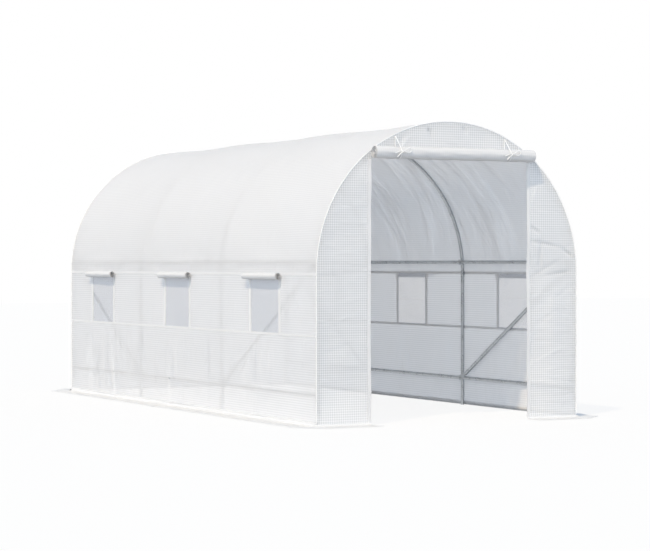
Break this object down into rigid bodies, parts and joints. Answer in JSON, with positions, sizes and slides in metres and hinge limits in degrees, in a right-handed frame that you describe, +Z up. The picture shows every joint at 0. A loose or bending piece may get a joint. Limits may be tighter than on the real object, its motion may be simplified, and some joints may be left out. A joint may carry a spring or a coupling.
{
  "type": "walk-in polytunnel greenhouse",
  "caption": "Walk-in tunnel greenhouse: a white translucent cover on bent steel tubes, with mesh windows, rolled flaps, a rolled-up door and a ground skirt.",
  "frame": {"origin": "on the ground under the middle of the tunnel", "axes": "+Z up, +Y from the door end to the closed rear end, +X to the right as one faces the door"},
  "size_m": [2.36, 4.86, 1.9998],
  "materials": {
    "cover_sheet": "translucent reinforced sheet, satin",
    "galvanised_tube": "galvanised, satin",
    "insect_mesh": "fine woven mesh",
    "binding": "woven binding tape",
    "zip_tape": "woven tape",
    "tie_cord": "braided cotton"
  },
  "bodies": {
    "root": {"door_roll": "cover_sheet", "door_tie_loops": "tie_cord", "door_tie_straps": "tie_cord", "door_tie_tails": "tie_cord", "door_zip_left": "zip_tape", "door_zip_right": "zip_tape", "front_arch_bow": "galvanised_tube", "front_arch_legs": "galvanised_tube", "front_header": "cover_sheet", "front_left_panel": "cover_sheet", "front_left_skirt": "cover_sheet", "front_right_panel": "cover_sheet", "front_right_skirt": "cover_sheet", "left_front_brace": "galvanised_tube", "left_ground_rail": "galvanised_tube", "left_mid_rail": "galvanised_tube", "left_rear_brace": "galvanised_tube", "left_skirt": "cover_sheet", "left_wall": "cover_sheet", "left_window_mesh": "insect_mesh", "left_window_rolls": "cover_sheet", "left_window_strips": "binding", "rear_arch_bow": "galvanised_tube", "rear_arch_legs": "galvanised_tube", "rear_panel": "cover_sheet", "rear_skirt": "cover_sheet", "ridge_rail": "galvanised_tube", "right_front_brace": "galvanised_tube", "right_ground_rail": "galvanised_tube", "right_mid_rail": "galvanised_tube", "right_rear_brace": "galvanised_tube", "right_skirt": "cover_sheet", "right_wall": "cover_sheet", "right_window_mesh": "insect_mesh", "right_window_rolls": "cover_sheet", "right_window_strips": "binding", "roof_cover": "cover_sheet", "second_arch_bow": "galvanised_tube", "second_arch_legs": "galvanised_tube", "third_arch_bow": "galvanised_tube", "third_arch_legs": "galvanised_tube"}
  },
  "joints": []
}
